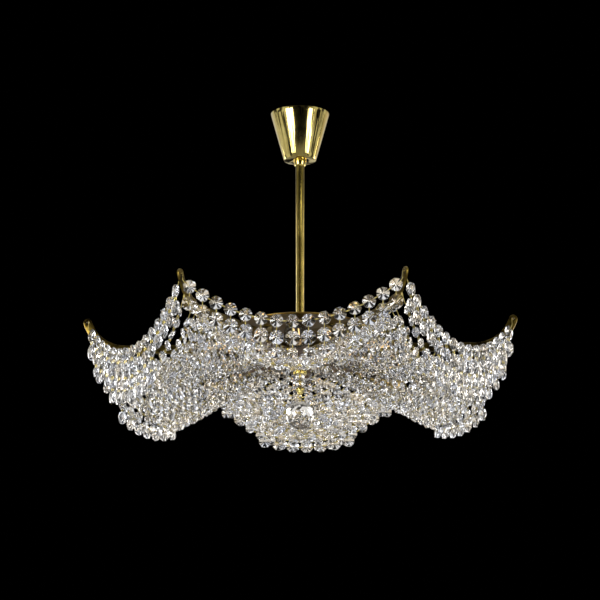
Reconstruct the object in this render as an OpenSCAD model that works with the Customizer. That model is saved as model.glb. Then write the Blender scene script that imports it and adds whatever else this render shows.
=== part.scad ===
// Crystal basket chandelier, hung on a rod from one ceiling hook
// Six flat brass arms carry garlands of cut crystal octagons round six lamps
// Millimetres, +Z up, origin on the ceiling over the rod, arm 1 along +X

/* [Ceiling fixing] */
// Ceiling down to the straight top edge of the arms
drop = 336; // [300:1:900]
// Length of the ceiling bar
bar_l = 66; // [62:1:72]
// Width of the ceiling bar
bar_w = 18; // [16:1:24]
// Thickness of the ceiling bar
bar_t = 3; // [2:0.5:4]
// Distance between the two fixing slots
fixing_spacing = 48; // [44:1:50]
// Width of a fixing slot
slot_w = 4.5; // [4:0.5:5.5]
// Length of a fixing slot, end to end
slot_l = 9; // [7:0.5:10]
// Diameter of the hook's wire
hook_wire = 4.5; // [4:0.5:5]
// Mean radius of the hook
hook_r = 7.5; // [7:0.5:9]
// Diameter of the wire of the ring and of the rod's eye
ring_wire = 4; // [3.5:0.5:4.5]
// Mean radius of the ring between the hook and the eye
ring_r = 9; // [8.5:0.5:10]
// Mean radius of the rod's eye
eye_r = 7; // [6.5:0.5:8]

/* [Canopy] */
// Diameter of the canopy at the ceiling
canopy_top_d = 82; // [78:1:110]
// Diameter of the canopy's flat bottom
canopy_bottom_d = 44.5; // [42:0.5:60]
// Height of the canopy
canopy_h = 68; // [66:1:90]
// Sheet thickness of the canopy
canopy_wall = 1; // [0.8:0.1:1.5]
// Free height between the canopy and the ceiling
canopy_gap = 3; // [1:0.5:6]
// Diameter of the collar that holds the canopy
collar_d = 18; // [17:0.5:22]
// Height of the collar's plain band
collar_h = 4; // [4:0.5:8]

/* [Stem and plate] */
// Outer diameter of the stem tube
stem_d = 12; // [10:0.5:16]
// Wall of the stem tube
stem_wall = 1; // [0.8:0.1:1.5]
// Diameter of the cable inside the stem
cable_d = 5.4; // [4:0.2:6]
// Diameter of the lamp plate
plate_d = 184; // [170:1:200]
// Thickness of the lamp plate
plate_t = 1.5; // [1:0.1:2.5]
// Height of the lamp plate over the arms' top edge
plate_lift = 20; // [18:1:30]

/* [Hub and arms] */
// Diameter of the hub
hub_d = 18; // [17:0.5:24]
// Diameter of the fluted cup under the hub
hub_cup_d = 50; // [44:1:52]
// Height of the fluted cup
hub_cup_h = 7; // [5:0.5:9]
// Reach of an arm from the axis to its tip
arm_reach = 300; // [280:1:330]
// Depth of the arm bar
arm_depth = 12; // [10:0.5:14]
// Thickness of the arm bar
arm_t = 3; // [3:0.5:4]
// Inner radius of the upward bend
bend_r = 50; // [45:1:55]
// Angle of the upward bend
bend_angle = 72; // [65:1:78]
// Diameter of the hook hole in each tip
tip_hole_d = 4; // [3.6:0.2:5]

/* [Crystals] */
// Diameter of the octagons of the top row
top_crystal_d = 18; // [16:1:18]
// Diameter of the octagons of the second row
large_crystal_d = 20; // [18:1:20]
// Diameter of the octagons of the last row
last_crystal_d = 18; // [16:1:19]
// Diameter of the small octagons
small_crystal_d = 14; // [12:1:14]
// Thickness of an octagon
crystal_t = 4.4; // [3.6:0.2:4.6]
// Thickness of the link wire
wire_t = 1; // [0.8:0.1:1.1]
// Distance between octagons along the top row
top_pitch = 20.8; // [20.5:0.1:20.9]
// Octagons along the top row
top_count = 15; // [13:2:15]
// Drop of the hook wire from a tip's hole to the end of the top row
tip_hook_l = 9; // [8:0.5:10]
// Sag of the top row under the tips' holes, hook wire included
top_sag = 66.5; // [66:0.5:70]
// The same sag in the two lobes beside the front one, which are strung longer
side_sag = 73; // [66:0.5:76]
// Strings of two rows at each front tip, outside the front lobe
short_strings = 4; // [2:1:4]
// The same sag in the rear lobe, which is strung shorter
rear_sag = 61; // [60:0.5:64]
// Distance between octagons along the rear lobe's top row
rear_pitch = 20.4; // [20.2:0.1:20.5]
// Distance between octagons along a garland
garland_pitch = 17.5; // [16:0.5:20]
// Drop from the top row to the second row
second_drop = 22.5; // [21:0.5:24]
// Drop from the top row to the third row
third_drop = 42.5; // [41:0.5:44]
// Drop from the top row to the last row
last_drop = 60.5; // [60:0.5:64]
// Radius on the arms of the innermost garland
garland_r = 45; // [42:1:50]
// Inner garlands in a lobe
inner_count = 6; // [4:1:6]
// Distance along the arms between the outer garlands
outer_step = 18; // [17:0.5:18.5]
// Outer garlands in a lobe
outer_count = 6; // [3:1:6]
// Distance from an arm's end back to the outermost garland
tip_margin = 15; // [14:0.5:18]
// Depth of the innermost garland under the arms' top edge
inner_depth = 30; // [28:1:36]
// Depth of the outermost garland under the arms' top edge
outer_depth = 92; // [80:1:96]

/* [Lamps] */
// Radius at which a lampholder's back stands
holder_r = 48; // [46:1:56]
// Diameter of a lampholder
holder_d = 24; // [22:0.5:27]
// Length of a lampholder
holder_l = 44; // [40:1:50]
// Depth of the lamp axis under the arms' top edge
lamp_depth = 18; // [16:1:20]
// Diameter of the lamp's glass
bulb_d = 35; // [30:1:36]
// Length of the lamp's glass that shows
bulb_l = 76; // [70:1:80]
// Diameter of the lamp's screw cap
cap_d = 13.6; // [13:0.1:14]
// Diameter of a lamp lead
lead_d = 2.8; // [2.2:0.2:3]

/* [Finial] */
// Diameter of the column under the hub
column_d = 10; // [9:0.5:12]
// Diameter of the column's fluted head
column_head_d = 17; // [15:0.5:18]
// Height of the column's fluted head
column_head_h = 10; // [8:0.5:12]
// Diameter of the small plate under the column
small_plate_d = 34; // [30:1:40]
// Diameter of the fluted lower hub
lower_hub_d = 19; // [18:0.5:22]
// Height of the fluted lower hub
lower_hub_h = 11; // [9:0.5:14]
// Diameter of the upper glass bead
upper_bead_d = 13; // [11:0.5:16]
// Diameter of the lower glass bead
lower_bead_d = 10; // [8:0.5:12]
// Diameter of the crystal ball
ball_d = 40; // [35:1:45]

/* [Hidden] */
$fn = 48;

gap = 0.3;
slip = 0.1;
arm_count = 6;
sector = 360 / arm_count;
arm_z = -drop;

boss_d = 15;
boss_h = 6;
nut_h = 4;
nut_d = 12;
shank_d = 6;
shank_bite = 5;
hook_top = -bar_t - boss_h - nut_h - 2;
hook_z = hook_top - hook_r;
hook_low = hook_z - hook_r;
hook_mouth = 55;
ring_top = hook_low + hook_wire / 2 + gap + ring_wire / 2;
ring_z = ring_top - ring_r;
ring_low = ring_z - ring_r;
eye_top = ring_low + ring_wire + gap;
eye_z = eye_top - eye_r;
eye_low = eye_z - eye_r;
eye_collar_h = 4;
eye_collar_d = 14;
stem_top = eye_low - ring_wire / 2 - eye_collar_h;
eye_plug = 8;
terminal_w = 18;
terminal_t = 8;
terminal_h = 14;
terminal_y = 12;

canopy_z = -canopy_gap - canopy_h;
canopy_slope = (canopy_top_d - canopy_bottom_d) / 2 / canopy_h;
collar_boss_h = 5;
collar_boss_d = stem_d + 3.4;
bead_h = 4.5;
screw_d = 3;

plate_z = arm_z + plate_lift;
plate_nut_h = 5;
plate_nut_d = 20;
plate_bead = 2.4;
hub_top = arm_z + 6;
hub_cup_floor = 1.7;
hub_cup_wall = 2;
hub_cup_flutes = 48;
hub_bottom = arm_z - arm_depth - gap - hub_cup_floor;
stem_bottom = arm_z + 1;
arm_root = hub_d / 2 - 3.4;
lead_z = arm_z + 9;
lead_bend = 9;

bracket_w = 14;
bracket_t = 1.5;
bracket_foot = 14;
nipple_d = 9.6;
nipple_l = 6;
lamp_z = arm_z - lamp_depth;
cap_l = 17;
cap_skirt = 3;

column_bite = 8;
lower_plate_z = arm_z - 32;
lower_plate_t = 1.5;
lower_hub_z = lower_plate_z - lower_hub_h;
finial_d = 3;
finial_bite = 6;
flute_count = 18;
flute_d = 1.6;
bead_share = 0.8;
beads_low = lower_hub_z - 3 * gap - (upper_bead_d + lower_bead_d) * bead_share;
cap_h = 9;
cap_low = beads_low - cap_h;
swivel_z = cap_low - 3;
swivel_r = 2.8;
swivel_wire = 1.2;

garland_count = inner_count + outer_count;
front_lobe = 5;
rear_lobe = (front_lobe + arm_count / 2 - 1) % arm_count + 1;

function cosh(u) = (exp(u) + exp(-u)) / 2;
function sinh(u) = (exp(u) - exp(-u)) / 2;
function asinh(v) = ln(v + sqrt(v * v + 1));

// Half span over the catenary's own radius, from its sag over its half span
function span_number(ratio, u = 1, turns = 14) =
    turns == 0 ? u
    : span_number(ratio, u - ((cosh(u) - 1) / u - ratio) * u * u / (u * sinh(u) - cosh(u) + 1), turns - 1);

function bend_start() = arm_reach - arm_depth / 2 - (bend_r + arm_depth / 2) * sin(bend_angle);
function tip_r() = arm_reach - arm_depth / 2;
function tip_lift() = bend_r - (bend_r + arm_depth / 2) * cos(bend_angle);

// Height of an arm's lower edge over the straight top edge, at a radius
function edge_lift(r) =
    r <= bend_start() ? -arm_depth
    : bend_r - sqrt(pow(bend_r + arm_depth, 2) - pow(r - bend_start(), 2));

function last_inner_r() = arm_reach - tip_margin - outer_step * outer_count;
function garland_radius(i) =
    i < inner_count ? garland_r + (last_inner_r() - garland_r) * i / (inner_count - 1)
    : last_inner_r() + outer_step * (i - inner_count + 1);

function garland_bottom(r) =
    -inner_depth - (outer_depth - inner_depth) * (r - garland_r)
    / (garland_radius(garland_count - 1) - garland_r);

// A round bar bent to an arc in the XZ plane
module bent_wire(r, wire, from, sweep) {
    rotate([90, 0, 0]) rotate([0, 0, from])
        rotate_extrude(angle = sweep) translate([r, 0]) circle(d = wire, $fn = 32);
}

module hex(d, h) {
    cylinder(d = d, h = h, $fn = 6);
}

module ceiling_bracket() {
    color("silver") difference() {
        union() {
            translate([-bar_l / 2, -bar_w / 2, -bar_t]) cube([bar_l, bar_w, bar_t]);
            translate([0, 0, -bar_t - boss_h]) cylinder(d = boss_d, h = boss_h + bar_t / 2);
        }
        translate([0, 0, -bar_t - boss_h - 1]) cylinder(d = shank_d + slip, h = shank_bite + 1 + gap);
        for (side = [-1, 1]) translate([side * fixing_spacing / 2, 0, -bar_t - 1]) {
            for (end = [-1, 1]) translate([end * (slot_l - slot_w) / 2, 0, 0])
                cylinder(d = slot_w, h = bar_t + 2);
            translate([-(slot_l - slot_w) / 2, -slot_w / 2, 0]) cube([slot_l - slot_w, slot_w, bar_t + 2]);
        }
    }
}

module ceiling_hook() {
    color("gainsboro") {
        translate([0, 0, hook_top]) cylinder(d = shank_d, h = -bar_t - boss_h + shank_bite - hook_top);
        translate([0, 0, hook_z]) bent_wire(hook_r, hook_wire, 90, 270 - hook_mouth / 2);
    }
}

module hook_nut() {
    color("silver") translate([0, 0, -bar_t - boss_h - nut_h]) difference() {
        hex(nut_d, nut_h);
        translate([0, 0, -1]) cylinder(d = shank_d + slip, h = nut_h + 2);
    }
}

module hanging_ring() {
    color("gold") translate([0, 0, ring_z]) rotate([0, 0, 90]) bent_wire(ring_r, ring_wire, 0, 360);
}

module rod_eye() {
    color("gold") {
        translate([0, 0, eye_z]) bent_wire(eye_r, ring_wire, 0, 360);
        translate([0, 0, stem_top]) cylinder(d = eye_collar_d, h = eye_collar_h + ring_wire / 2);
        difference() {
            translate([0, 0, stem_top - eye_plug])
                cylinder(d = stem_d - 2 * stem_wall - 2 * slip, h = eye_plug + eye_collar_h / 2);
            translate([0, 0, stem_top - eye_plug - 1]) cylinder(d = cable_d + 2 * gap, h = eye_plug);
        }
        translate([-terminal_w / 2, eye_collar_d / 2 - 3, stem_top])
            cube([terminal_w, terminal_y - eye_collar_d / 2 + 3, 1.5]);
    }
}

module terminal_block() {
    color("ivory") translate([0, 0, stem_top]) difference() {
        translate([-terminal_w / 2, terminal_y, 0]) cube([terminal_w, terminal_t, terminal_h]);
        for (pole = [-1:1]) translate([pole * terminal_w / 3, terminal_y + terminal_t / 2, -1])
            cylinder(d = 3, h = terminal_h + 2);
    }
}

module canopy() {
    inner_top = canopy_top_d / 2 - canopy_wall;
    inner_bottom = canopy_bottom_d / 2 - canopy_wall + canopy_slope * canopy_wall;
    hole = collar_boss_d / 2 + slip;
    color("goldenrod") translate([0, 0, canopy_z]) rotate_extrude($fn = 96) polygon([
        [hole, 0], [canopy_bottom_d / 2, 0], [canopy_top_d / 2, canopy_h], [inner_top, canopy_h],
        [inner_bottom, canopy_wall], [hole, canopy_wall]]);
}

module canopy_collar() {
    bore = stem_d / 2 + slip;
    low = canopy_z - collar_h;
    color("gold") difference() {
        union() {
            translate([0, 0, low]) cylinder(d = collar_d, h = collar_h);
            translate([0, 0, canopy_z - 1]) cylinder(d = collar_boss_d, h = collar_boss_h + 1);
            translate([0, 0, low]) intersection() {
                sphere(d = collar_d - 1.4);
                translate([0, 0, -bead_h]) cylinder(d = collar_d, h = bead_h + 0.5);
            }
        }
        translate([0, 0, low - collar_d]) cylinder(r = bore, h = collar_d + collar_h + collar_boss_h + 2);
        translate([0, 0, canopy_z - collar_h / 2]) rotate([0, 90, 0])
            cylinder(d = screw_d + slip, h = collar_d);
    }
}

module collar_screw() {
    color("dimgray") translate([stem_d / 2 + slip / 2, 0, canopy_z - collar_h / 2]) rotate([0, 90, 0])
        difference() {
            cylinder(d = screw_d, h = (collar_d - stem_d) / 2 - 0.4);
            translate([0, 0, (collar_d - stem_d) / 2 - 1.6]) cylinder(d = 1.5, h = 3, $fn = 6);
        }
}

module stem_tube() {
    color("darkgoldenrod") difference() {
        translate([0, 0, stem_bottom]) cylinder(d = stem_d, h = stem_top - stem_bottom);
        translate([0, 0, stem_bottom - 1]) cylinder(d = stem_d - 2 * stem_wall, h = stem_top - stem_bottom + 2);
        for (k = [0:arm_count - 1]) rotate([0, 0, sector * (k + 0.5)])
            translate([0, 0, lead_z]) rotate([0, 90, 0]) cylinder(d = lead_d + 2 * gap, h = stem_d);
    }
}

module stem_cable() {
    color("white") translate([0, 0, stem_bottom + 1])
        cylinder(d = cable_d, h = stem_top - eye_plug + 6 - stem_bottom);
}

module lamp_plate() {
    bore = stem_d / 2 + slip;
    color("goldenrod") translate([0, 0, plate_z]) rotate_extrude($fn = 120) union() {
        translate([bore, 0]) square([plate_d / 2 - plate_bead / 2 - bore, plate_t]);
        translate([plate_d / 2 - plate_bead / 2, plate_t / 2]) circle(d = plate_bead, $fn = 24);
    }
}

module plate_nuts() {
    color("gold") for (z = [plate_z + plate_t, plate_z - plate_nut_h]) translate([0, 0, z]) difference() {
        hex(plate_nut_d, plate_nut_h);
        translate([0, 0, -1]) cylinder(d = stem_d + 2 * slip, h = plate_nut_h + 2);
    }
}

module holder_brackets() {
    leg_low = lamp_z - nipple_d / 2 - 3;
    color("darkgoldenrod") for (k = [0:arm_count - 1]) rotate([0, 0, sector * (k + 0.5)]) difference() {
        union() {
            translate([holder_r - bracket_t, -bracket_w / 2, leg_low])
                cube([bracket_t, bracket_w, plate_z - leg_low]);
            translate([holder_r - bracket_t, -bracket_w / 2, plate_z - bracket_t])
                cube([bracket_foot, bracket_w, bracket_t]);
        }
        translate([holder_r - bracket_t - 1, 0, lamp_z]) rotate([0, 90, 0])
            cylinder(d = nipple_d + 2 * slip, h = bracket_t + 2);
    }
}

module lampholder(k) {
    socket_d = cap_d + 2 * slip;
    color("saddlebrown") rotate([0, 0, sector * (k - 0.5)]) translate([holder_r, 0, lamp_z]) rotate([0, 90, 0])
        rotate_extrude() polygon([
            [1.7, -nipple_l], [nipple_d / 2, -nipple_l], [nipple_d / 2, 0], [holder_d / 2 - 3, 0],
            [holder_d / 2, 3], [holder_d / 2, holder_l - 3], [holder_d / 2 - 1, holder_l],
            [socket_d / 2, holder_l], [socket_d / 2, holder_l - cap_l - 2],
            [1.7, holder_l - cap_l - 2]]);
}

module lamp_cap(k) {
    color("silver") rotate([0, 0, sector * (k - 0.5)]) translate([holder_r + holder_l, 0, lamp_z])
        rotate([0, 90, 0]) rotate_extrude() polygon([
            [0, -cap_l - 1], [2.4, -cap_l - 1], [cap_d / 2 - 1.5, -cap_l + 2], [cap_d / 2, -cap_l + 3],
            [cap_d / 2, gap], [cap_d / 2 + 1.6, cap_skirt], [cap_d / 2 + 1.2, cap_skirt], [0, cap_skirt]]);
}

// Half outline of a candle lamp: a neck, a round shoulder and a drawn tip
function bulb_half(t) = bulb_d / 2 * sqrt(sin(180 * pow(t, 0.72))) * (1 - 0.55 * pow(t, 3)) ;

module lamp_glass(k) {
    steps = 14;
    neck = cap_d / 2 + 1.2;
    color([1, 0.97, 0.9, 0.6]) rotate([0, 0, sector * (k - 0.5)])
        translate([holder_r + holder_l + cap_skirt, 0, lamp_z]) rotate([0, 90, 0]) rotate_extrude()
            polygon(concat([[0, 0], [neck, 0]],
                [for (i = [1:steps - 1]) let (t = i / steps) [max(bulb_half(t), i < 3 ? neck : 0), bulb_l * t]],
                [[0, bulb_l]]));
}

// Each lead leaves the stem over the hub and turns down into a lampholder's nipple
module lamp_leads() {
    inlet = holder_r - nipple_l - 1;
    drop_x = inlet - lead_bend - 3;
    color("whitesmoke") for (k = [0:arm_count - 1]) rotate([0, 0, sector * (k + 0.5)]) {
        translate([4.4, 0, lead_z]) rotate([0, 90, 0]) cylinder(d = lead_d, h = drop_x - lead_bend - 4.4);
        translate([drop_x - lead_bend, 0, lead_z - lead_bend])
            bent_wire(lead_bend, lead_d, 0, 90);
        translate([drop_x, 0, lamp_z + lead_bend])
            cylinder(d = lead_d, h = lead_z - lead_bend - lamp_z - lead_bend);
        translate([drop_x + lead_bend, 0, lamp_z + lead_bend])
            bent_wire(lead_bend, lead_d, 180, 90);
        translate([drop_x + lead_bend, 0, lamp_z]) rotate([0, 90, 0])
            cylinder(d = lead_d, h = inlet + 4 - drop_x - lead_bend);
    }
}

// The cup's wall is cut through where the arms leave it
module hub_cup() {
    translate([0, 0, hub_bottom]) difference() {
        cylinder(d = hub_cup_d, h = hub_cup_h, $fn = 96);
        translate([0, 0, hub_cup_floor]) cylinder(d = hub_cup_d - 2 * hub_cup_wall, h = hub_cup_h, $fn = 96);
        for (i = [0:hub_cup_flutes - 1]) rotate([0, 0, (i + 0.5) * 360 / hub_cup_flutes])
            translate([hub_cup_d / 2, 0, -1]) cylinder(d = flute_d, h = hub_cup_h + 2, $fn = 16);
        for (k = [0:arm_count - 1]) rotate([0, 0, sector * k])
            translate([0, -arm_t / 2 - gap, hub_cup_floor]) cube([hub_cup_d, arm_t + 2 * gap, hub_cup_h]);
    }
}

module hub() {
    color("gold") difference() {
        union() {
            translate([0, 0, hub_bottom]) cylinder(d = hub_d, h = hub_top - hub_bottom);
            hub_cup();
        }
        translate([0, 0, stem_bottom]) cylinder(d = stem_d + 2 * slip, h = hub_top - stem_bottom + 1);
        translate([0, 0, hub_bottom - 1]) cylinder(d = 8 + slip, h = column_bite + 1);
        for (k = [0:arm_count - 1]) rotate([0, 0, sector * k])
            translate([arm_root, -arm_t / 2, arm_z - arm_depth]) cube([hub_d, arm_t, arm_depth]);
    }
}

// The bar's side view: straight, bent up, with a round drilled tip
module arm_outline() {
    start = bend_start();
    square_end = arm_reach + bend_r;
    translate([arm_root, -arm_depth]) square([start - arm_root, arm_depth]);
    intersection() {
        translate([start, bend_r]) difference() {
            circle(r = bend_r + arm_depth, $fn = 180);
            circle(r = bend_r, $fn = 180);
        }
        translate([start, bend_r]) polygon([[0, 0], [0, -square_end],
            [square_end * tan(bend_angle / 2), -square_end],
            [square_end * sin(bend_angle), -square_end * cos(bend_angle)]]);
    }
    translate([tip_r(), tip_lift()]) circle(d = arm_depth, $fn = 64);
}

module arm(k) {
    color("peru") rotate([0, 0, sector * (k - 1)]) translate([0, arm_t / 2, arm_z]) rotate([90, 0, 0])
        linear_extrude(arm_t) difference() {
            arm_outline();
            translate([tip_r(), tip_lift()]) circle(d = tip_hole_d, $fn = 32);
        }
}

// The upright plane across a lobe at a radius on its arms: X along the chord, Y up, Z outwards
module across_lobe(k, r) {
    rotate([0, 0, sector * (k - 0.5)]) translate([r * cos(sector / 2), 0, arm_z]) rotate([90, 0, 90])
        children();
}

module octagon(at, d, turn = 0) {
    translate([at[0], at[1], -crystal_t / 2]) rotate([0, 0, turn + 22.5]) cylinder(d = d, h = crystal_t, $fn = 8);
}

module wire(from, to) {
    run = to - from;
    translate([from[0], from[1], 0]) rotate([0, 0, atan2(run[1], run[0])])
        translate([0, -wire_t / 2, -wire_t / 2]) cube([norm(run), wire_t, wire_t]);
}

// Points of a hanging chain: equal steps along a catenary, counted from its middle
function chain_points(half, high, sag, pitch, count) =
    let (a = half / span_number(sag / half))
    [for (i = [0:count - 1]) let (x = a * asinh((i - (count - 1) / 2) * pitch / a))
        [x, high - sag + a * (cosh(x / a) - 1), atan(sinh(x / a))]];

function chain_length(half, sag) =
    let (u = span_number(sag / half)) 2 * half * sinh(u) / u;

function spot(p) = [p[0], p[1]];

module chain(points, d) {
    for (p = points) octagon(spot(p), d, p[2]);
    for (i = [1:len(points) - 1]) wire(spot(points[i - 1]), spot(points[i]));
}

// One garland per radius, each hooked under the two arms of its lobe
module garlands(k) {
    hook_side = 0.8;
    hook_l = 3;
    color("gainsboro") for (i = [0:garland_count - 1]) {
        r = garland_radius(i);
        half = r * sin(sector / 2) - hook_side / cos(sector / 2);
        touch = edge_lift(r - 0.7) - (r > bend_start() ? gap : 0);
        high = touch - hook_l;
        sag = high - garland_bottom(r);
        count = floor((chain_length(half, sag) - 6) / garland_pitch);
        points = chain_points(half, high, sag, garland_pitch, count);
        across_lobe(k, r) {
            chain(points, small_crystal_d);
            for (side = [-1, 1]) {
                end = side < 0 ? points[0] : points[count - 1];
                wire(spot(end), [side * half, high]);
                translate([side * half - wire_t / 2, high - wire_t / 2, -wire_t / 2])
                    cube([wire_t, touch - high + wire_t / 2, wire_t]);
            }
        }
    }
}

function row_drop(row) = [0, second_drop, third_drop, last_drop][row];
function row_size(row) = [top_crystal_d, large_crystal_d, small_crystal_d, last_crystal_d][row];

// Rows on a string; the front lobe's curtain has no last row at its middle, and the first strings
// beside it stop at their second row
function rows_at(k, i) =
    let (from_end = min(i, top_count - 1 - i), full = from_end >= 4 ? 4 : from_end >= 1 ? 3 : 2,
        from_front = k == front_lobe - 1 ? top_count - 1 - i : k == front_lobe + 1 ? i : top_count)
    k == front_lobe && from_end >= 5 ? min(full, 3) : from_front < short_strings ? 2 : full;

// How a lobe's top row hangs: its sag under the tips' holes and the distance between its octagons
function lobe_sag(k) = k == rear_lobe ? rear_sag : abs(k - front_lobe) == 1 ? side_sag : top_sag;
function lobe_pitch(k) = k == rear_lobe ? rear_pitch : top_pitch;

// The curtain hung between two tips: the top row and the strings under its octagons
module curtain(k) {
    half = tip_r() * sin(sector / 2);
    high = tip_lift() - tip_hook_l;
    points = chain_points(half, high, lobe_sag(k) - tip_hook_l, lobe_pitch(k), top_count);
    pin = 3.4;
    color("gainsboro") across_lobe(k, tip_r()) {
        chain(points, top_crystal_d);
        for (side = [-1, 1]) {
            end = side < 0 ? points[0] : points[top_count - 1];
            wire(spot(end), [side * (half - pin), high]);
            translate([side * (half - pin) - wire_t / 2, high - wire_t / 2, -wire_t / 2])
                cube([wire_t, tip_hook_l + wire_t, wire_t]);
            translate([side > 0 ? half - pin - wire_t / 2 : -half + gap, tip_lift() - wire_t / 2, -wire_t / 2])
                cube([pin - gap + wire_t / 2, wire_t, wire_t]);
        }
        for (i = [0:top_count - 1]) {
            top = spot(points[i]);
            for (row = [1:rows_at(k, i) - 1]) {
                at = top - [0, row_drop(row)];
                octagon(at, row_size(row));
                wire(top - [0, row_drop(row - 1)], at);
            }
        }
    }
}

module column() {
    color("gold") {
        translate([0, 0, hub_bottom - column_bite + gap]) cylinder(d = 8, h = 2 * column_bite - 2 * gap);
        difference() {
            union() {
                translate([0, 0, lower_plate_z + lower_plate_t])
                    cylinder(d = column_d, h = hub_bottom - lower_plate_z - lower_plate_t);
                translate([0, 0, hub_bottom - column_head_h]) cylinder(d = column_head_d, h = column_head_h);
            }
            translate([0, 0, lower_plate_z]) cylinder(d = finial_d + 2 * slip, h = finial_bite);
            for (i = [0:flute_count - 1]) rotate([0, 0, i * 360 / flute_count])
                translate([column_head_d / 2, 0, hub_bottom - column_head_h - 1])
                    cylinder(d = flute_d, h = column_head_h + 2, $fn = 16);
        }
    }
}

module lower_plate() {
    color("goldenrod") translate([0, 0, lower_plate_z]) difference() {
        cylinder(d = small_plate_d, h = lower_plate_t, $fn = 72);
        translate([0, 0, -1]) cylinder(d = finial_d + 2 * slip, h = lower_plate_t + 2);
    }
}

module lower_hub() {
    color("gold") translate([0, 0, lower_hub_z]) difference() {
        cylinder(d = lower_hub_d, h = lower_hub_h);
        translate([0, 0, -1]) cylinder(d = finial_d + 2 * slip, h = lower_hub_h + 2);
        for (i = [0:flute_count - 1]) rotate([0, 0, i * 360 / flute_count])
            translate([lower_hub_d / 2, 0, -1]) cylinder(d = flute_d, h = lower_hub_h + 2, $fn = 16);
    }
}

module glass_bead(d, z) {
    translate([0, 0, z]) difference() {
        intersection() {
            sphere(d = d);
            cube([d, d, d * bead_share], center = true);
        }
        cylinder(d = finial_d + 2 * slip, h = d + 2, center = true);
    }
}

module glass_beads() {
    color("mistyrose") {
        glass_bead(upper_bead_d, lower_hub_z - gap - upper_bead_d * bead_share / 2);
        glass_bead(lower_bead_d, beads_low + gap + lower_bead_d * bead_share / 2);
    }
}

module finial_rod() {
    color("gold") translate([0, 0, cap_low + 3])
        cylinder(d = finial_d, h = lower_plate_z + finial_bite - 1 - cap_low - 3);
}

// A turned cap whose eye carries the ball's wire
module ball_cap() {
    color("gold") difference() {
        union() {
            translate([0, 0, cap_low]) rotate_extrude() polygon([
                [0, 0], [2.4, 0], [3.4, 1.5], [3.4, 3.5], [6, 5.5], [6, cap_h - 1], [5, cap_h], [0, cap_h]]);
            translate([0, 0, swivel_z]) bent_wire(swivel_r, swivel_wire, 0, 360);
        }
        translate([0, 0, cap_low + 3 - gap]) cylinder(d = finial_d + 2 * slip, h = cap_h);
    }
}

module crystal_ball() {
    ring_mid = swivel_z - 2 * swivel_r + swivel_wire + gap / 2;
    centre = ring_mid - swivel_r - ball_d / 2 + 1;
    color("lightcyan") {
        translate([0, 0, ring_mid]) rotate([0, 0, 90]) bent_wire(swivel_r, swivel_wire, 0, 360);
        translate([0, 0, centre]) sphere(d = ball_d, $fn = 64);
    }
}

ceiling_bracket();
ceiling_hook();
hook_nut();
hanging_ring();
rod_eye();
canopy();
canopy_collar();
collar_screw();
stem_tube();
terminal_block();
stem_cable();
lamp_plate();
plate_nuts();
holder_brackets();
lamp_leads();
hub();
column();
lower_plate();
lower_hub();
glass_beads();
finial_rod();
ball_cap();
crystal_ball();
for (k = [1:arm_count]) {
    arm(k);
    garlands(k);
    curtain(k);
    lampholder(k);
    lamp_cap(k);
    lamp_glass(k);
}
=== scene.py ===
# Crystal basket chandelier: brass rod and arms, cut octagons on wire links, six candle lamps
import math
import random

import bpy
from mathutils import Matrix, Vector


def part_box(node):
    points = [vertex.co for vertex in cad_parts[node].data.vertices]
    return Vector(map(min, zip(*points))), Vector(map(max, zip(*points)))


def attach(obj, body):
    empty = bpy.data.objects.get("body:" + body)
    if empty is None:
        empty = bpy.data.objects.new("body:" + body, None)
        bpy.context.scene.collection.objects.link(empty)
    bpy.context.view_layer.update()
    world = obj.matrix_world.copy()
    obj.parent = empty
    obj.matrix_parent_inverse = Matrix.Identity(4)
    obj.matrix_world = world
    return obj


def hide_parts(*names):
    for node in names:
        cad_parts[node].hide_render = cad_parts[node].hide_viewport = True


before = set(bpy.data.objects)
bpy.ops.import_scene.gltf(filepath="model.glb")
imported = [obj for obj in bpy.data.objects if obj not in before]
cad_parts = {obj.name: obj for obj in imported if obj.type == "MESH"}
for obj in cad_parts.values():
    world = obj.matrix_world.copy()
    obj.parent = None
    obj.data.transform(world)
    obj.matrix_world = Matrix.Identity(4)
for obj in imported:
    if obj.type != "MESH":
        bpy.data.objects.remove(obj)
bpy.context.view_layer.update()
mm = 0.001


# Selection and object helpers

def clearSelection():
    if bpy.context.mode != "OBJECT":
        bpy.ops.object.mode_set(mode="OBJECT")
    bpy.ops.object.select_all(action="DESELECT")


def pick(*pieces):
    clearSelection()
    for piece in pieces:
        piece.select_set(True)
    bpy.context.view_layer.objects.active = pieces[0]


def selectFaces(piece, wanted):
    # edit mode with only the faces for which wanted(centre, normal) is true
    bpy.ops.object.mode_set(mode="EDIT")
    bpy.ops.mesh.select_mode(type="FACE")
    bpy.ops.mesh.select_all(action="DESELECT")
    bpy.ops.object.mode_set(mode="OBJECT")
    for face in piece.data.polygons:
        face.select = wanted(face.center, face.normal)
    bpy.ops.object.mode_set(mode="EDIT")


def finishPiece(piece, name, body, material):
    piece.name = name
    piece.data.name = name
    piece.data.materials.clear()
    piece.data.materials.append(material)
    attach(piece, body)
    return piece


def placedCopy(template, place):
    # a copy with its own mesh, already standing at its place
    mesh = template.data.copy()
    mesh.transform(place)
    piece = bpy.data.objects.new(template.name, mesh)
    bpy.context.scene.collection.objects.link(piece)
    return piece


def joinPieces(pieces):
    pick(*pieces)
    if len(pieces) > 1:
        bpy.ops.object.join()
    return bpy.context.view_layer.objects.active


def deletePiece(piece):
    pick(piece)
    bpy.ops.object.delete()


# Materials

def fromHex(text):
    # sRGB hex to linear
    parts = [int(text[i:i + 2], 16) / 255 for i in (1, 3, 5)]
    return (*[c / 12.92 if c <= 0.04045 else ((c + 0.055) / 1.055) ** 2.4 for c in parts], 1)


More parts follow.
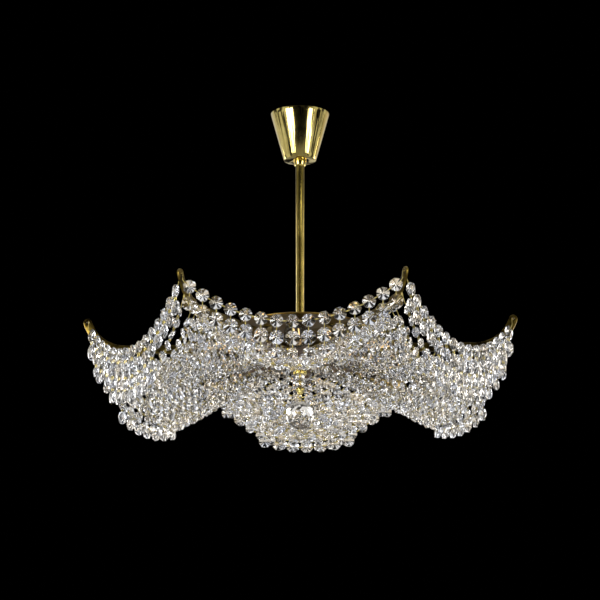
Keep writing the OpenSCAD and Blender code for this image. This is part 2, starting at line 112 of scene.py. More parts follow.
def addNode(material, kind, settings=None, links=None, ramp=None):
    node = material.node_tree.nodes.new(kind)
    for name, value in (settings or {}).items():
        if hasattr(node, name):
            setattr(node, name, value)
        else:
            node.inputs[name].default_value = value
    for name, source in (links or {}).items():
        material.node_tree.links.new(source, node.inputs[name])
    if ramp:
        elements = node.color_ramp.elements
        while len(elements) < len(ramp):
            elements.new(0.5)
        for element, (position, colour) in zip(elements, ramp):
            element.position = position
            element.color = colour
    return node


def combine(material, operation, first, second):
    # two colours multiplied, or the brighter of the two
    node = addNode(material, "ShaderNodeVectorMath", {"operation": operation})
    material.node_tree.links.new(first, node.inputs[0])
    material.node_tree.links.new(second, node.inputs[1])
    return node.outputs["Vector"]


def startMaterial(name):
    material = bpy.data.materials.new(name)
    material.use_nodes = True
    material.node_tree.nodes.clear()
    return material


def closeMaterial(material, shader):
    addNode(material, "ShaderNodeOutputMaterial", links={"Surface": shader.outputs[0]})
    return material


def patternScale(sizeMm):
    # a noise feature of that many millimetres, for coordinates in metres
    return 1000 / sizeMm


def grey(value):
    return (value, value, value, 1)


# lacquered brass, turned and buffed: fine turning lines, warm tone that wanders a little
polishedBrassSet = {"light": "#DBC97C", "deep": "#BCA75C", "toneMm": 28, "lineMm": 0.35,
                    "roughLow": 0.07, "roughHigh": 0.17, "bump": 0.05}
# the rod's brass: a darker copy of the polished brass, painted shade so that the rod reads dim; its rougher
# lacquer reflects more dully
paintedShadeRodBrassSet = {"light": "#8F7D3A", "deep": "#75662B", "toneMm": 40, "lineMm": 0.5,
               "roughLow": 0.2, "roughHigh": 0.27, "bump": 0.01}
# the lamp plate's brass: a dark brown copy of the brass, painted shade so that the plate seen from below
# reads nearly black
paintedShadePlateBrassSet = {"light": "#84692A", "deep": "#5A451A", "toneMm": 18, "lineMm": 0.6,
                 "roughLow": 0.3, "roughHigh": 0.5, "bump": 0.1}
# flat bar, sawn and left to brown: cloudy patina
agedBrassSet = {"light": "#76632A", "deep": "#382E12", "toneMm": 16, "lineMm": 0.6,
                "roughLow": 0.22, "roughHigh": 0.42, "bump": 0.12}
# bright wire for the links, drawn through a die
linkBrassSet = {"light": "#DDCB80", "deep": "#A29148", "toneMm": 6, "lineMm": 0.4,
                "roughLow": 0.38, "roughHigh": 0.55, "bump": 0.03}
# zinc plate has a blue grey bloom
zincSteelSet = {"light": "#C9CDD2", "deep": "#8E949B", "toneMm": 5, "lineMm": 0.5,
                "roughLow": 0.28, "roughHigh": 0.46, "bump": 0.08}
# oiled black steel of a small set screw
darkSteelSet = {"light": "#4A4A4C", "deep": "#1E1E20", "toneMm": 2, "lineMm": 0.3,
                "roughLow": 0.3, "roughHigh": 0.5, "bump": 0.05}
# nickel plated cap, rolled from thin sheet
nickelCapSet = {"light": "#D8D6CF", "deep": "#A39F94", "toneMm": 4, "lineMm": 0.4,
                "roughLow": 0.16, "roughHigh": 0.3, "bump": 0.06}


def metalFinish(name, look, turned=True):
    material = startMaterial(name)
    place = addNode(material, "ShaderNodeTexCoord").outputs["Object"]
    tone = addNode(material, "ShaderNodeTexNoise",
                   {"Scale": patternScale(look["toneMm"]), "Detail": 4, "Roughness": 0.6}, {"Vector": place})
    colour = addNode(material, "ShaderNodeValToRGB", links={"Fac": tone.outputs["Fac"]},
                     ramp=[(0.34, fromHex(look["deep"])), (0.62, fromHex(look["light"]))])
    squash = (0.05, 0.05, 1) if turned else (1, 1, 1)
    stretched = addNode(material, "ShaderNodeMapping", {"Scale": squash}, {"Vector": place})
    lines = addNode(material, "ShaderNodeTexNoise",
                    {"Scale": patternScale(look["lineMm"]), "Detail": 2}, {"Vector": stretched.outputs[0]})
    rough = addNode(material, "ShaderNodeMapRange",
                    {"From Min": 0.3, "From Max": 0.7, "To Min": look["roughLow"],
                     "To Max": look["roughHigh"]}, {"Value": tone.outputs["Fac"]})
    bump = addNode(material, "ShaderNodeBump", {"Strength": look["bump"], "Distance": 0.02 * mm},
                   {"Height": lines.outputs["Fac"]})
    shader = addNode(material, "ShaderNodeBsdfPrincipled", {"Metallic": 1.0},
                     {"Base Color": colour.outputs["Color"], "Roughness": rough.outputs["Result"],
                      "Normal": bump.outputs["Normal"]})
    return closeMaterial(material, shader)


# lead crystal, cut and acid polished: clear, heavy refraction, each stone a breath warmer or cooler
crystalSet = {"cool": "#F4F7FF", "warm": "#FFF8EC", "ior": 1.545, "clearRough": 0.0, "hazyRough": 0.02}


def cutCrystal(name):
    material = startMaterial(name)
    stone = addNode(material, "ShaderNodeNewGeometry").outputs["Random Per Island"]
    tint = addNode(material, "ShaderNodeValToRGB", links={"Fac": stone},
                   ramp=[(0.0, fromHex(crystalSet["cool"])), (0.5, grey(1.0)),
                         (1.0, fromHex(crystalSet["warm"]))])
    place = addNode(material, "ShaderNodeTexCoord").outputs["Object"]
    haze = addNode(material, "ShaderNodeTexNoise", {"Scale": patternScale(9), "Detail": 3}, {"Vector": place})
    rough = addNode(material, "ShaderNodeMapRange",
                    {"From Min": 0.45, "From Max": 0.8, "To Min": crystalSet["clearRough"],
                     "To Max": crystalSet["hazyRough"]}, {"Value": haze.outputs["Fac"]})
    shader = addNode(material, "ShaderNodeBsdfPrincipled",
                     {"Transmission Weight": 1.0, "IOR": crystalSet["ior"]},
                     {"Base Color": tint.outputs["Color"], "Roughness": rough.outputs["Result"]})
    return closeMaterial(material, shader)


# blown soda glass envelope: nearly nothing face on, a bright line where it turns away
def lampEnvelopeGlass(name):
    material = startMaterial(name)
    edge = addNode(material, "ShaderNodeFresnel", {"IOR": 1.52})
    cover = addNode(material, "ShaderNodeMapRange",
                    {"From Min": 0.0, "From Max": 1.0, "To Min": 0.02, "To Max": 0.95},
                    {"Value": edge.outputs["Fac"]})
    place = addNode(material, "ShaderNodeTexCoord").outputs["Object"]
    ripple = addNode(material, "ShaderNodeTexNoise", {"Scale": patternScale(14)}, {"Vector": place})
    bump = addNode(material, "ShaderNodeBump", {"Strength": 0.05, "Distance": 0.1 * mm},
                   {"Height": ripple.outputs["Fac"]})
    shader = addNode(material, "ShaderNodeBsdfPrincipled",
                     {"Base Color": fromHex("#3B3934"), "Roughness": 0.03, "IOR": 1.52},
                     {"Alpha": cover.outputs["Result"], "Normal": bump.outputs["Normal"]})
    return closeMaterial(material, shader)


# hot filament, about 2700 K
def glowingFilament(name):
    material = startMaterial(name)
    place = addNode(material, "ShaderNodeTexCoord").outputs["Object"]
    beads = addNode(material, "ShaderNodeTexNoise", {"Scale": patternScale(1.2)}, {"Vector": place})
    heat = addNode(material, "ShaderNodeValToRGB", links={"Fac": beads.outputs["Fac"]},
                   ramp=[(0.3, fromHex("#FFC56B")), (0.7, fromHex("#FFE0A8"))])
    shader = addNode(material, "ShaderNodeBsdfPrincipled",
                     {"Base Color": fromHex("#FFD9A0"), "Roughness": 0.6, "Emission Strength": 1.6},
                     {"Emission Color": heat.outputs["Color"]})
    return closeMaterial(material, shader)


# moulded thermoplastic: fine matt spark finish, a trace of yellowing
def mouldedPlastic(name, light, deep, roughness, alpha=1.0):
    material = startMaterial(name)
    place = addNode(material, "ShaderNodeTexCoord").outputs["Object"]
    tone = addNode(material, "ShaderNodeTexNoise", {"Scale": patternScale(12), "Detail": 3},
                   {"Vector": place})
    colour = addNode(material, "ShaderNodeValToRGB", links={"Fac": tone.outputs["Fac"]},
                     ramp=[(0.35, fromHex(deep)), (0.65, fromHex(light))])
    grain = addNode(material, "ShaderNodeTexNoise", {"Scale": patternScale(0.5)}, {"Vector": place})
    bump = addNode(material, "ShaderNodeBump", {"Strength": 0.15, "Distance": 0.03 * mm},
                   {"Height": grain.outputs["Fac"]})
    shader = addNode(material, "ShaderNodeBsdfPrincipled",
                     {"Roughness": roughness, "IOR": 1.49, "Alpha": alpha},
                     {"Base Color": colour.outputs["Color"], "Normal": bump.outputs["Normal"]})
    return closeMaterial(material, shader)


polishedBrass = metalFinish("polishedBrass", polishedBrassSet)
# the rod's and the lamp plate's brass are darker copies of the polished brass: painted shade
paintedShadeRodBrass = metalFinish("paintedShadeRodBrass", paintedShadeRodBrassSet)
paintedShadePlateBrass = metalFinish("paintedShadePlateBrass", paintedShadePlateBrassSet, turned=False)
agedBrass = metalFinish("agedBrass", agedBrassSet, turned=False)
linkBrass = metalFinish("linkBrass", linkBrassSet, turned=False)
zincSteel = metalFinish("zincSteel", zincSteelSet, turned=False)
darkSteel = metalFinish("darkSteel", darkSteelSet, turned=False)
nickelCap = metalFinish("nickelCap", nickelCapSet, turned=False)
leadCrystal = cutCrystal("leadCrystal")
lampGlass = lampEnvelopeGlass("lampGlass")
hotFilament = glowingFilament("hotFilament")
holderPlastic = mouldedPlastic("holderPlastic", "#6B5138", "#4C3826", 0.4)
whitePlastic = mouldedPlastic("whitePlastic", "#EFEDE6", "#DEDBD0", 0.45)
clearPvc = mouldedPlastic("clearPvc", "#E8E6E0", "#CFCBC0", 0.25, alpha=0.6)
print("materials made")


# The basket's own measures, as in the part's source
basket = {"lobes": 6, "armTop": -336 * mm, "reach": 300 * mm, "depth": 12 * mm, "bendRadius": 50 * mm,
          "bendAngle": math.radians(72)}
curtainSet = {"count": 15, "pitch": 20.8 * mm, "rearPitch": 20.4 * mm, "sag": 66.5 * mm, "sideSag": 73 * mm,
              "rearSag": 61 * mm, "frontLobe": 5, "rearLobe": 2, "shortStrings": 4, "hook": 9 * mm,
              "pin": 3.4 * mm, "clear": 0.3 * mm, "drops": [0, 22.5 * mm, 42.5 * mm, 60.5 * mm],
              "sizes": [18 * mm, 20 * mm, 14 * mm, 18 * mm],
              "fullRows": 4, "fullFrom": 4, "threeFrom": 1, "frontShortFrom": 5}
garlandSet = {"firstRadius": 45 * mm, "innerStep": 26.4 * mm, "innerCount": 6, "outerStep": 18 * mm,
              "outerCount": 6, "innerDepth": 30 * mm, "outerDepth": 92 * mm, "pitch": 17.5 * mm,
              "size": 14 * mm, "hookSide": 0.8 * mm, "hookLength": 3 * mm, "hookReach": 0.7 * mm,
              "endRoom": 6 * mm, "clear": 0.3 * mm}
halfSector = math.pi / basket["lobes"]
tipRadius = basket["reach"] - basket["depth"] / 2
outerBend = basket["bendRadius"] + basket["depth"] / 2
bendStart = tipRadius - outerBend * math.sin(basket["bendAngle"])
tipLift = basket["bendRadius"] - outerBend * math.cos(basket["bendAngle"])


def spanNumber(ratio):
    # half span over the catenary's own radius, from sag over half span
    u = 1.0
    for step in range(20):
        u -= ((math.cosh(u) - 1) / u - ratio) * u * u / (u * math.sinh(u) - math.cosh(u) + 1)
    return u


def chainPoints(half, high, sag, pitch, count):
    # equal steps along a catenary, counted from its middle: x, y and slope
    a = half / spanNumber(sag / half)
    points = []
    for i in range(count):
        x = a * math.asinh((i - (count - 1) / 2) * pitch / a)
        points.append((x, high - sag + a * (math.cosh(x / a) - 1), math.atan(math.sinh(x / a))))
    return points


def chainLength(half, sag):
    u = spanNumber(sag / half)
    return 2 * half * math.sinh(u) / u


def acrossLobe(lobe, radius):
    # the upright plane across a lobe: X along the chord, Y up, Z outwards
    turn = Matrix.Rotation(2 * halfSector * (lobe - 0.5), 4, "Z")
    out = Matrix.Translation((radius * math.cos(halfSector), 0, basket["armTop"]))
    upright = Matrix.Rotation(math.pi / 2, 4, "Z") @ Matrix.Rotation(math.pi / 2, 4, "X")
    return turn @ out @ upright


def edgeLift(radius):
    # an arm's lower edge over its straight top edge
    if radius <= bendStart:
        return -basket["depth"]
    return basket["bendRadius"] - math.sqrt((basket["bendRadius"] + basket["depth"]) ** 2
                                            - (radius - bendStart) ** 2)


# The cut octagon: on each face sixteen narrow facets run from the rim to one point in the middle
octagonSet = {"cornerRim": 0.14, "middleRim": 0.21, "peak": 0.42, "step": 22.5}


def makeOctagon(name):
    # radius 1, so that each copy is scaled to its own size
    clearSelection()
    step = math.radians(octagonSet["step"])
    bpy.ops.mesh.primitive_cylinder_add(vertices=16, radius=1, depth=2)
    stone = bpy.context.object
    stone.name = name
    for corner in stone.data.vertices:
        around = round(math.atan2(corner.co.x, corner.co.y) / step)
        isMiddle = around % 2 == 1
        high = octagonSet["middleRim"] if isMiddle else octagonSet["cornerRim"]
        reach = math.cos(step) if isMiddle else 1
        corner.co = (reach * math.sin(around * step), reach * math.cos(around * step),
                     math.copysign(high, corner.co.z))
    for side in (1, -1):
        selectFaces(stone, lambda centre, normal: normal.z * side > 0.9)
        rim = (octagonSet["middleRim"] + octagonSet["cornerRim"]) / 2
        bpy.ops.mesh.poke(offset=octagonSet["peak"] - rim, center_mode="MEDIAN")
        bpy.ops.object.mode_set(mode="OBJECT")
    bpy.ops.object.mode_set(mode="EDIT")
    bpy.ops.mesh.select_all(action="SELECT")
    bpy.ops.mesh.normals_make_consistent(inside=False)
    bpy.ops.object.mode_set(mode="OBJECT")
    return stone


# A link: a flat loop of wire through the holes of two neighbours, seen edge on from the front
linkSet = {"wire": 0.9 * mm, "length": 6.4 * mm, "width": 3.4 * mm, "holeInset": 1.8 * mm,
           "aroundLoop": 8, "aroundWire": 4}


def makeLink(name):
    clearSelection()
    bpy.ops.mesh.primitive_torus_add(major_segments=linkSet["aroundLoop"],
                                     minor_segments=linkSet["aroundWire"], major_radius=1,
                                     minor_radius=linkSet["wire"] / 2)
    loop = bpy.context.object
    loop.name = name
    halfLength = (linkSet["length"] - linkSet["wire"]) / 2
    halfWidth = (linkSet["width"] - linkSet["wire"]) / 2
    for corner in loop.data.vertices:
        away = math.hypot(corner.co.x, corner.co.y)
        across = away - 1
        flatX, flatY = corner.co.x / away, corner.co.y / away
        corner.co.x = flatX * (halfLength + across)
        corner.co.y = flatY * (halfWidth + across)
    loop.data.transform(Matrix.Rotation(math.pi / 2, 4, "X"))
    return loop


def makeWireRun(points, wire):
    # short runs of wire bent by hand: each point list is one piece of wire
    clearSelection()
    curve = bpy.data.curves.new("wireRun", "CURVE")
    curve.dimensions = "3D"
    curve.bevel_depth = wire / 2
    curve.bevel_resolution = 1
    curve.use_fill_caps = True
    for run in points:
        spline = curve.splines.new("POLY")
        spline.points.add(len(run) - 1)
        for knot, at in zip(spline.points, run):
            knot.co = (*at, 1)
    piece = bpy.data.objects.new("wireRun", curve)
    bpy.context.scene.collection.objects.link(piece)
    pick(piece)
    bpy.ops.object.convert(target="MESH")
    return bpy.context.object


octagon = makeOctagon("octagon")
link = makeLink("link")
shake = random.Random(7)
# the curtains' stones hang nearly square, the garlands' small ones roll on their wires
tiltSet = {"curtain": math.radians(5), "garland": math.radians(24)}


def hangOctagon(plane, at, size, tilt, turn=0.0):
    swing = Matrix.Rotation(shake.uniform(-1, 1) * tiltSet[tilt], 4, "X")
    twist = Matrix.Rotation(shake.uniform(-1, 1) * tiltSet[tilt], 4, "Y")
    place = (plane @ Matrix.Translation((at[0], at[1], 0)) @ Matrix.Rotation(turn, 4, "Z") @ swing @ twist
             @ Matrix.Rotation(math.radians(octagonSet["step"]), 4, "Z") @ Matrix.Scale(size / 2, 4))
    return placedCopy(octagon, place)


def hangLink(plane, start, startSize, end, endSize):
    # from a hole near one stone's edge to a hole near the next one's
    run = Vector(end[:2]) - Vector(start[:2])
    along = run.normalized()
    first = Vector(start[:2]) + along * (startSize / 2 - linkSet["holeInset"])
    last = Vector(end[:2]) - along * (endSize / 2 - linkSet["holeInset"])
    middle = (first + last) / 2
    stretch = ((last - first).length + linkSet["wire"]) / linkSet["length"]
    place = (plane @ Matrix.Translation((middle.x, middle.y, 0))
             @ Matrix.Rotation(math.atan2(along.y, along.x), 4, "Z") @ Matrix.Diagonal((stretch, 1, 1, 1)))
    return placedCopy(link, place)


def onPlane(plane, x, y, z=0.0):
    return tuple(plane @ Vector((x, y, z)))


def holeOf(point, size, side):
    # a stone's outer hole, towards the end of its chain
    reach = size / 2 - linkSet["holeInset"]
    return point[0] + side * reach * math.cos(point[2]), point[1] + side * reach * math.sin(point[2])


def garlandRadius(i):
    inner = min(i, garlandSet["innerCount"] - 1)
    outer = max(i - garlandSet["innerCount"] + 1, 0)
    return garlandSet["firstRadius"] + garlandSet["innerStep"] * inner + garlandSet["outerStep"] * outer


garlandTotal = garlandSet["innerCount"] + garlandSet["outerCount"]


def garlandBottom(radius):
    lastRadius = garlandRadius(garlandTotal - 1)
    share = (radius - garlandSet["firstRadius"]) / (lastRadius - garlandSet["firstRadius"])
    return -garlandSet["innerDepth"] - (garlandSet["outerDepth"] - garlandSet["innerDepth"]) * share


# between two garlands of the source hangs one more of smaller stones, too many to be built as solids
fillSet = {"size": 12 * mm, "pitch": 14.5 * mm, "lift": 1.5 * mm, "count": 10}


def garlandStrings():
    # radius, stone and pitch of every string in a lobe, from the middle out
    radii = [garlandRadius(i) for i in range(garlandTotal)]
    strings = [(radius, garlandSet["size"], garlandSet["pitch"], 0.0) for radius in radii]
    between = [(a + b) / 2 for a, b in zip(radii, radii[1:])][:fillSet["count"]]
    strings += [(radius, fillSet["size"], fillSet["pitch"], fillSet["lift"]) for radius in between]
    return sorted(strings)


def makeGarlands(lobe):
    stones, links, hooks = [], [], []
    for radius, size, pitch, lift in garlandStrings():
        half = radius * math.sin(halfSector) - garlandSet["hookSide"] / math.cos(halfSector)
        clear = garlandSet["clear"] if radius > bendStart else 0
        touch = edgeLift(radius - garlandSet["hookReach"]) - clear
        high = touch - garlandSet["hookLength"]
        sag = high - garlandBottom(radius) - lift
        count = int((chainLength(half, sag) - garlandSet["endRoom"]) // pitch)
        points = chainPoints(half, high, sag, pitch, count)
        plane = acrossLobe(lobe, radius)
        stones += [hangOctagon(plane, p, size, "garland", p[2]) for p in points]
        links += [hangLink(plane, a, size, b, size) for a, b in zip(points, points[1:])]
        for side in (-1, 1):
            hole = holeOf(points[0] if side < 0 else points[-1], size, side)
            hooks.append([onPlane(plane, *hole), onPlane(plane, side * half, high),
                          onPlane(plane, side * half, touch)])
    crystals = finishPiece(joinPieces(stones), f"garlandCrystals_{lobe}", "fixture", leadCrystal)
    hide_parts(f"garlands_{lobe}")
    wires = joinPieces(links + [makeWireRun(hooks, linkSet["wire"])])
    finishPiece(wires, f"garlandLinks_{lobe}", "fixture", linkBrass)


def rowsAt(lobe, i):
    # strings grow longer away from the tips, but the front lobe's middle stays open
    fromEnd = min(i, curtainSet["count"] - 1 - i)
    rows = curtainSet["fullRows"]
    if fromEnd < curtainSet["fullFrom"]:
        rows -= 1
    if fromEnd < curtainSet["threeFrom"]:
        rows -= 1
    if lobe == curtainSet["frontLobe"] and fromEnd >= curtainSet["frontShortFrom"]:
        rows = curtainSet["fullRows"] - 1
    # the first strings beside the front lobe stop at their second row
    besideFront = {curtainSet["frontLobe"] - 1: curtainSet["count"] - 1 - i, curtainSet["frontLobe"] + 1: i}
    return 2 if besideFront.get(lobe, curtainSet["count"]) < curtainSet["shortStrings"] else rows


def lobeChain(lobe):
    # sag under the tips' holes and the distance between stones
    if lobe == curtainSet["rearLobe"]:
        return curtainSet["rearSag"], curtainSet["rearPitch"]
    besideFront = abs(lobe - curtainSet["frontLobe"]) == 1
    return curtainSet["sideSag" if besideFront else "sag"], curtainSet["pitch"]


def makeCurtain(lobe):
    stones, links, hooks = [], [], []
    half = tipRadius * math.sin(halfSector)
    sizes, drops = curtainSet["sizes"], curtainSet["drops"]
    high = tipLift - curtainSet["hook"]
    sag, pitch = lobeChain(lobe)
    points = chainPoints(half, high, sag - curtainSet["hook"], pitch, curtainSet["count"])
    plane = acrossLobe(lobe, tipRadius)
    for i, point in enumerate(points):
        stones.append(hangOctagon(plane, point, sizes[0], "curtain", point[2]))
        for row in range(1, rowsAt(lobe, i)):
            above = (point[0], point[1] - drops[row - 1])
            at = (point[0], point[1] - drops[row])
            stones.append(hangOctagon(plane, at, sizes[row], "curtain"))
            links.append(hangLink(plane, above, sizes[row - 1], at, sizes[row]))
    links += [hangLink(plane, a, sizes[0], b, sizes[0]) for a, b in zip(points, points[1:])]
    for side in (-1, 1):
        hole = holeOf(points[0] if side < 0 else points[-1], sizes[0], side)
        hooks.append([onPlane(plane, *hole), onPlane(plane, side * (half - curtainSet["pin"]), high),
                      onPlane(plane, side * (half - curtainSet["pin"]), tipLift),
                      onPlane(plane, side * (half - curtainSet["clear"]), tipLift)])
    body = f"curtain_{lobe}"
    crystals = finishPiece(joinPieces(stones), f"curtainCrystals_{lobe}", body, leadCrystal)
    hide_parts(f"curtain_{lobe}")
    wires = joinPieces(links + [makeWireRun(hooks, linkSet["wire"])])
    finishPiece(wires, f"curtainLinks_{lobe}", body, linkBrass)


for lobe in range(1, basket["lobes"] + 1):
    makeGarlands(lobe)
    makeCurtain(lobe)
deletePiece(octagon)
deletePiece(link)
print("crystals hung")


# Metal and plastic pieces keep the frame's shape; their edges are broken as a polishing wheel would
softSet = {"edge": 0.35 * mm, "weld": 0.002 * mm, "flat": math.radians(0.6), "sharp": math.radians(35),
           "smooth": math.radians(32), "steps": 2}


def softenedCopy(node, name, body, material, edge=softSet["edge"]):
    clearSelection()
    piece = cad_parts[node].copy()
    piece.data = piece.data.copy()
    piece.parent = None
    for key in list(piece.keys()):
        if key.startswith("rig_"):
            del piece[key]
    bpy.context.scene.collection.objects.link(piece)
    piece.hide_viewport = piece.hide_render = False
    pick(piece)
    bpy.ops.object.mode_set(mode="EDIT")
    bpy.ops.mesh.select_all(action="SELECT")
    bpy.ops.mesh.remove_doubles(threshold=softSet["weld"])
    bpy.ops.mesh.dissolve_limited(angle_limit=softSet["flat"])
    bpy.ops.object.mode_set(mode="OBJECT")
    if edge:
        bevel = piece.modifiers.new("edge", "BEVEL")
        bevel.width = edge
        bevel.segments = softSet["steps"]
        bevel.limit_method = "ANGLE"
        bevel.angle_limit = softSet["sharp"]
        bpy.ops.object.modifier_apply(modifier=bevel.name)
    bpy.ops.object.shade_smooth_by_angle(angle=softSet["smooth"])
    finishPiece(piece, name, body, material)
    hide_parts(node)


brassPieces = {"hanging_ring": ("suspensionRing", "ring", 0),
               "rod_eye": ("rodEye", "fixture", 0.2 * mm),
               "canopy": ("canopyShell", "canopy", 0.3 * mm),
               "canopy_collar": ("canopyCollar", "canopy", 0.3 * mm),
               "plate_nuts": ("plateNuts", "fixture", 0.4 * mm),
               "hub": ("armHub", "fixture", 0.3 * mm),
               "column": ("hubColumn", "fixture", 0.2 * mm),
               "lower_plate": ("smallPlate", "fixture", 0.3 * mm),
               "lower_hub": ("flutedHub", "fixture", 0.2 * mm),
               "finial_rod": ("finialRod", "fixture", 0),
               "ball_cap": ("ballCap", "fixture", 0.2 * mm)}
for node, (name, body, edge) in brassPieces.items():
    softenedCopy(node, name, body, polishedBrass, edge)
# the rod takes the darker brass, with painted shade in its colour
softenedCopy("stem_tube", "stemTube", "fixture", paintedShadeRodBrass, 0)
# the lamp plate takes the dark brown brass, with painted shade in its colour
softenedCopy("lamp_plate", "lampPlate", "fixture", paintedShadePlateBrass, 0.2 * mm)
for k in range(1, basket["lobes"] + 1):
    softenedCopy(f"arm_{k}", f"brassArm_{k}", "fixture", agedBrass, 0.45 * mm)
    softenedCopy(f"lampholder_{k}", f"candleHolder_{k}", "fixture", holderPlastic)
    softenedCopy(f"lamp_cap_{k}", f"lampCap_{k}", f"lamp_{k}", nickelCap, 0.2 * mm)
    softenedCopy(f"lamp_glass_{k}", f"lampEnvelope_{k}", f"lamp_{k}", lampGlass, 0)
softenedCopy("holder_brackets", "holderBrackets", "fixture", agedBrass, 0.3 * mm)
softenedCopy("ceiling_bracket", "ceilingBar", "ceiling_mount", zincSteel, 0.3 * mm)
softenedCopy("ceiling_hook", "ceilingHook", "ceiling_mount", zincSteel, 0.2 * mm)
softenedCopy("hook_nut", "hookNut", "ceiling_mount", zincSteel, 0.4 * mm)
softenedCopy("collar_screw", "collarScrew", "canopy", darkSteel, 0.1 * mm)
softenedCopy("terminal_block", "terminalBlock", "fixture", whitePlastic, 0.4 * mm)
softenedCopy("stem_cable", "stemCable", "fixture", whitePlastic, 0)
softenedCopy("lamp_leads", "lampLeads", "fixture", clearPvc, 0)
softenedCopy("glass_beads", "glassBeads", "fixture", leadCrystal, 0.3 * mm)
print("metal and plastic dressed")


# Four straight filaments stand in a ring round each lamp's axis
filamentSet = {"count": 4, "length": 34 * mm, "thick": 1.5 * mm, "ring": 4.5 * mm, "start": 107 * mm,
               "depth": 18 * mm, "endInset": 0.3 * mm, "endReach": 2 * mm, "sides": 8}


def makeFilaments(k):
    parts = []
    for i in range(filamentSet["count"]):
        clearSelection()
        bpy.ops.mesh.primitive_cylinder_add(vertices=filamentSet["sides"], radius=filamentSet["thick"] / 2,
                                            depth=filamentSet["length"])
        strip = bpy.context.object
        selectFaces(strip, lambda centre, normal: abs(normal.z) > 0.9)
        bpy.ops.mesh.inset(thickness=filamentSet["endInset"])
        bpy.ops.transform.resize(value=(1, 1, 1 + filamentSet["endReach"] / filamentSet["length"]))
        bpy.ops.object.mode_set(mode="OBJECT")
        angle = 2 * math.pi * (i + 0.5) / filamentSet["count"]
        strip.data.transform(Matrix.Translation((filamentSet["ring"] * math.cos(angle),
                                                 filamentSet["ring"] * math.sin(angle), 0)))
        parts.append(strip)
    strips = joinPieces(parts)
    middle = filamentSet["start"] + filamentSet["length"] / 2
    strips.data.transform(Matrix.Rotation(2 * halfSector * (k - 0.5), 4, "Z")
                          @ Matrix.Translation((middle, 0, basket["armTop"] - filamentSet["depth"]))
                          @ Matrix.Rotation(math.pi / 2, 4, "Y"))
    finishPiece(strips, f"filaments_{k}", f"lamp_{k}", hotFilament)


for k in range(1, basket["lobes"] + 1):
    makeFilaments(k)
print("lamps lit")


# The ball: rings of facets, every other ring turned by half a facet
ballSet = {"diameter": 40 * mm, "around": 18, "rings": 13, "ringRadius": 2.8 * mm, "ringWire": 1.2 * mm}


def makeBall():
    low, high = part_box("crystal_ball")
    radius = ballSet["diameter"] / 2
    clearSelection()
    bpy.ops.mesh.primitive_uv_sphere_add(segments=ballSet["around"], ring_count=ballSet["rings"],
                                         radius=radius)
    ball = bpy.context.object
    step = math.pi / ballSet["rings"]
    for row in range(1, ballSet["rings"], 2):
        level = radius * math.cos(row * step)
        bpy.ops.object.mode_set(mode="EDIT")
        bpy.ops.mesh.select_mode(type="VERT")
        bpy.ops.mesh.select_all(action="DESELECT")
        bpy.ops.object.mode_set(mode="OBJECT")
        for corner in ball.data.vertices:
            corner.select = abs(corner.co.z - level) < radius * 0.02
        bpy.ops.object.mode_set(mode="EDIT")
        bpy.ops.transform.rotate(value=math.pi / ballSet["around"], orient_axis="Z",
                                 center_override=(0, 0, 0))
        bpy.ops.object.mode_set(mode="OBJECT")
    bpy.ops.object.mode_set(mode="EDIT")
    bpy.ops.mesh.select_all(action="SELECT")
    bpy.ops.mesh.quads_convert_to_tris(quad_method="SHORTEST_DIAGONAL")
    bpy.ops.object.mode_set(mode="OBJECT")
    ball.data.transform(Matrix.Translation((0, 0, low.z + radius)))
    finishPiece(ball, "facetedBall", "ball", leadCrystal)
    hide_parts("crystal_ball")
    clearSelection()
    bpy.ops.mesh.primitive_torus_add(major_segments=28, minor_segments=8, major_radius=ballSet["ringRadius"],
                                     minor_radius=ballSet["ringWire"] / 2)
    ring = bpy.context.object
    ringTop = ballSet["ringRadius"] + ballSet["ringWire"] / 2
    ring.data.transform(Matrix.Translation((0, 0, high.z - ringTop)) @ Matrix.Rotation(math.pi / 2, 4, "Y"))
    pick(ring)
    bpy.ops.object.shade_smooth()
    finishPiece(ring, "ballRing", "ball", linkBrass)


makeBall()
print("ball cut")


# Camera, soft studio light and a plain pale floor
view = {"distance": 4.49, "lookUp": math.radians(15), "turn": math.radians(2.16), "target": -0.273,
        "pixelsPerMetre": 722.6, "imageWidth": 600, "sensor": 36.0}


def makeCamera():
    away = Vector((0, -math.cos(view["lookUp"]), -math.sin(view["lookUp"]))) * view["distance"]
    away.rotate(Matrix.Rotation(view["turn"], 3, "Z"))
    data = bpy.data.cameras.new("camera")
    data.sensor_width = view["sensor"]
    data.lens = view["sensor"] * view["distance"] * view["pixelsPerMetre"] / view["imageWidth"]
    data.clip_end = 50
    camera = bpy.data.objects.new("camera", data)
    camera.location = Vector((0, 0, view["target"])) + away
    camera.rotation_euler = (-away).to_track_quat("-Z", "Y").to_euler()
    bpy.context.scene.collection.objects.link(camera)
    bpy.context.scene.camera = camera


# name, place, size, watts and colour of each soft box, all facing the middle of the fitting
panelSet = [("keyPanel", (-1.7, -2.0, -0.35), (1.3, 0.9), 60, "#FFFFFF"),
            ("fillPanel", (2.0, -1.8, -0.4), (1.1, 0.9), 38, "#F7F9FF"),
            ("lowPanel", (0.2, -1.6, -1.9), (1.4, 0.8), 6, "#FFFFFF"),
            ("topPanel", (0, 0.3, 1.6), (1.6, 1.2), 16, "#FFFFFF"),
            ("rearLeft", (-1.8, 1.7, -0.65), (1.0, 0.9), 22, "#FFFFFF"),
            ("rearRight", (1.9, 1.6, -0.65), (1.0, 0.9), 22, "#FFF6E8")]
panelAim = Vector((0, 0, -0.3))


def makePanel(name, at, size, watts, colour):
    data = bpy.data.lights.new(name, "AREA")
    data.shape = "RECTANGLE"
    data.size, data.size_y = size
    data.energy = watts
    data.color = fromHex(colour)[:3]
    lamp = bpy.data.objects.new(name, data)
    lamp.location = at
    lamp.rotation_euler = (Vector(at) - panelAim).to_track_quat("Z", "Y").to_euler()
    bpy.context.scene.collection.objects.link(lamp)


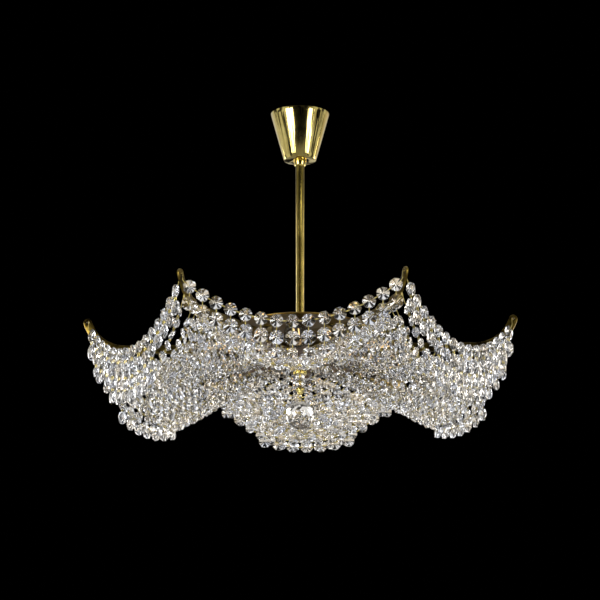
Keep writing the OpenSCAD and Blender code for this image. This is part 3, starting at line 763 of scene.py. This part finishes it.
# a tent of white cards with dark gaps between them, open behind the camera, and black where it looks past
worldSet = {"cardSize": 4.2, "cardSeed": 2.0, "cards": [(0.518, grey(0.01)), (0.533, grey(1.0))],
            "opening": [(0.0, grey(0.02)), (0.08, grey(0.1)), (0.3, grey(1.0))],
            "wall": [(0.47, grey(0.0)), (0.5, fromHex("#F6EAD2")), (0.62, fromHex("#F6EAD2")),
                     (0.68, grey(0.0))],
            "wallDepth": [(0.72, grey(0.0)), (0.85, grey(1.0))], "strength": 0.74}


def makeWorld():
    world = bpy.data.worlds.new("studio")
    world.use_nodes = True
    bpy.context.scene.world = world
    bpy.context.scene.view_settings.view_transform = "Standard"
    world.node_tree.nodes.clear()
    around = addNode(world, "ShaderNodeTexCoord").outputs["Generated"]
    parts = addNode(world, "ShaderNodeSeparateXYZ", links={"Vector": around})

    def alongAxis(axis, ramp):
        share = addNode(world, "ShaderNodeMapRange", {"From Min": -1.0, "From Max": 1.0},
                        {"Value": parts.outputs[axis]})
        return addNode(world, "ShaderNodeValToRGB", links={"Fac": share.outputs["Result"]},
                       ramp=worldSet[ramp]).outputs["Color"]

    blotches = addNode(world, "ShaderNodeTexNoise",
                       {"noise_dimensions": "4D", "Scale": worldSet["cardSize"], "Detail": 0,
                        "W": worldSet["cardSeed"]}, {"Vector": around})
    cards = addNode(world, "ShaderNodeValToRGB", links={"Fac": blotches.outputs["Fac"]},
                    ramp=worldSet["cards"])
    wall = combine(world, "MULTIPLY", alongAxis("Z", "wall"), alongAxis("Y", "wallDepth"))
    white = combine(world, "MAXIMUM", cards.outputs["Color"], wall)
    light = combine(world, "MULTIPLY", alongAxis("Y", "opening"), white)
    lit = addNode(world, "ShaderNodeBackground", {"Strength": worldSet["strength"]}, {"Color": light})
    black = addNode(world, "ShaderNodeBackground", {"Color": grey(0.0)})
    seen = addNode(world, "ShaderNodeLightPath")
    both = addNode(world, "ShaderNodeMixShader", links={"Fac": seen.outputs["Is Camera Ray"]})
    world.node_tree.links.new(lit.outputs[0], both.inputs[1])
    world.node_tree.links.new(black.outputs[0], both.inputs[2])
    addNode(world, "ShaderNodeOutputWorld", links={"Surface": both.outputs[0]})


def makeFloor():
    clearSelection()
    bpy.ops.mesh.primitive_plane_add(size=9, location=(0, 0, -2.4))
    floor = bpy.context.object
    floor.name = "studioFloor"
    paint = mouldedPlastic("floorPaint", "#E9E7E3", "#E2E0DB", 0.7)
    floor.data.materials.append(paint)


makeCamera()
for panel in panelSet:
    makePanel(*panel)
makeWorld()
makeFloor()
print("stage set")
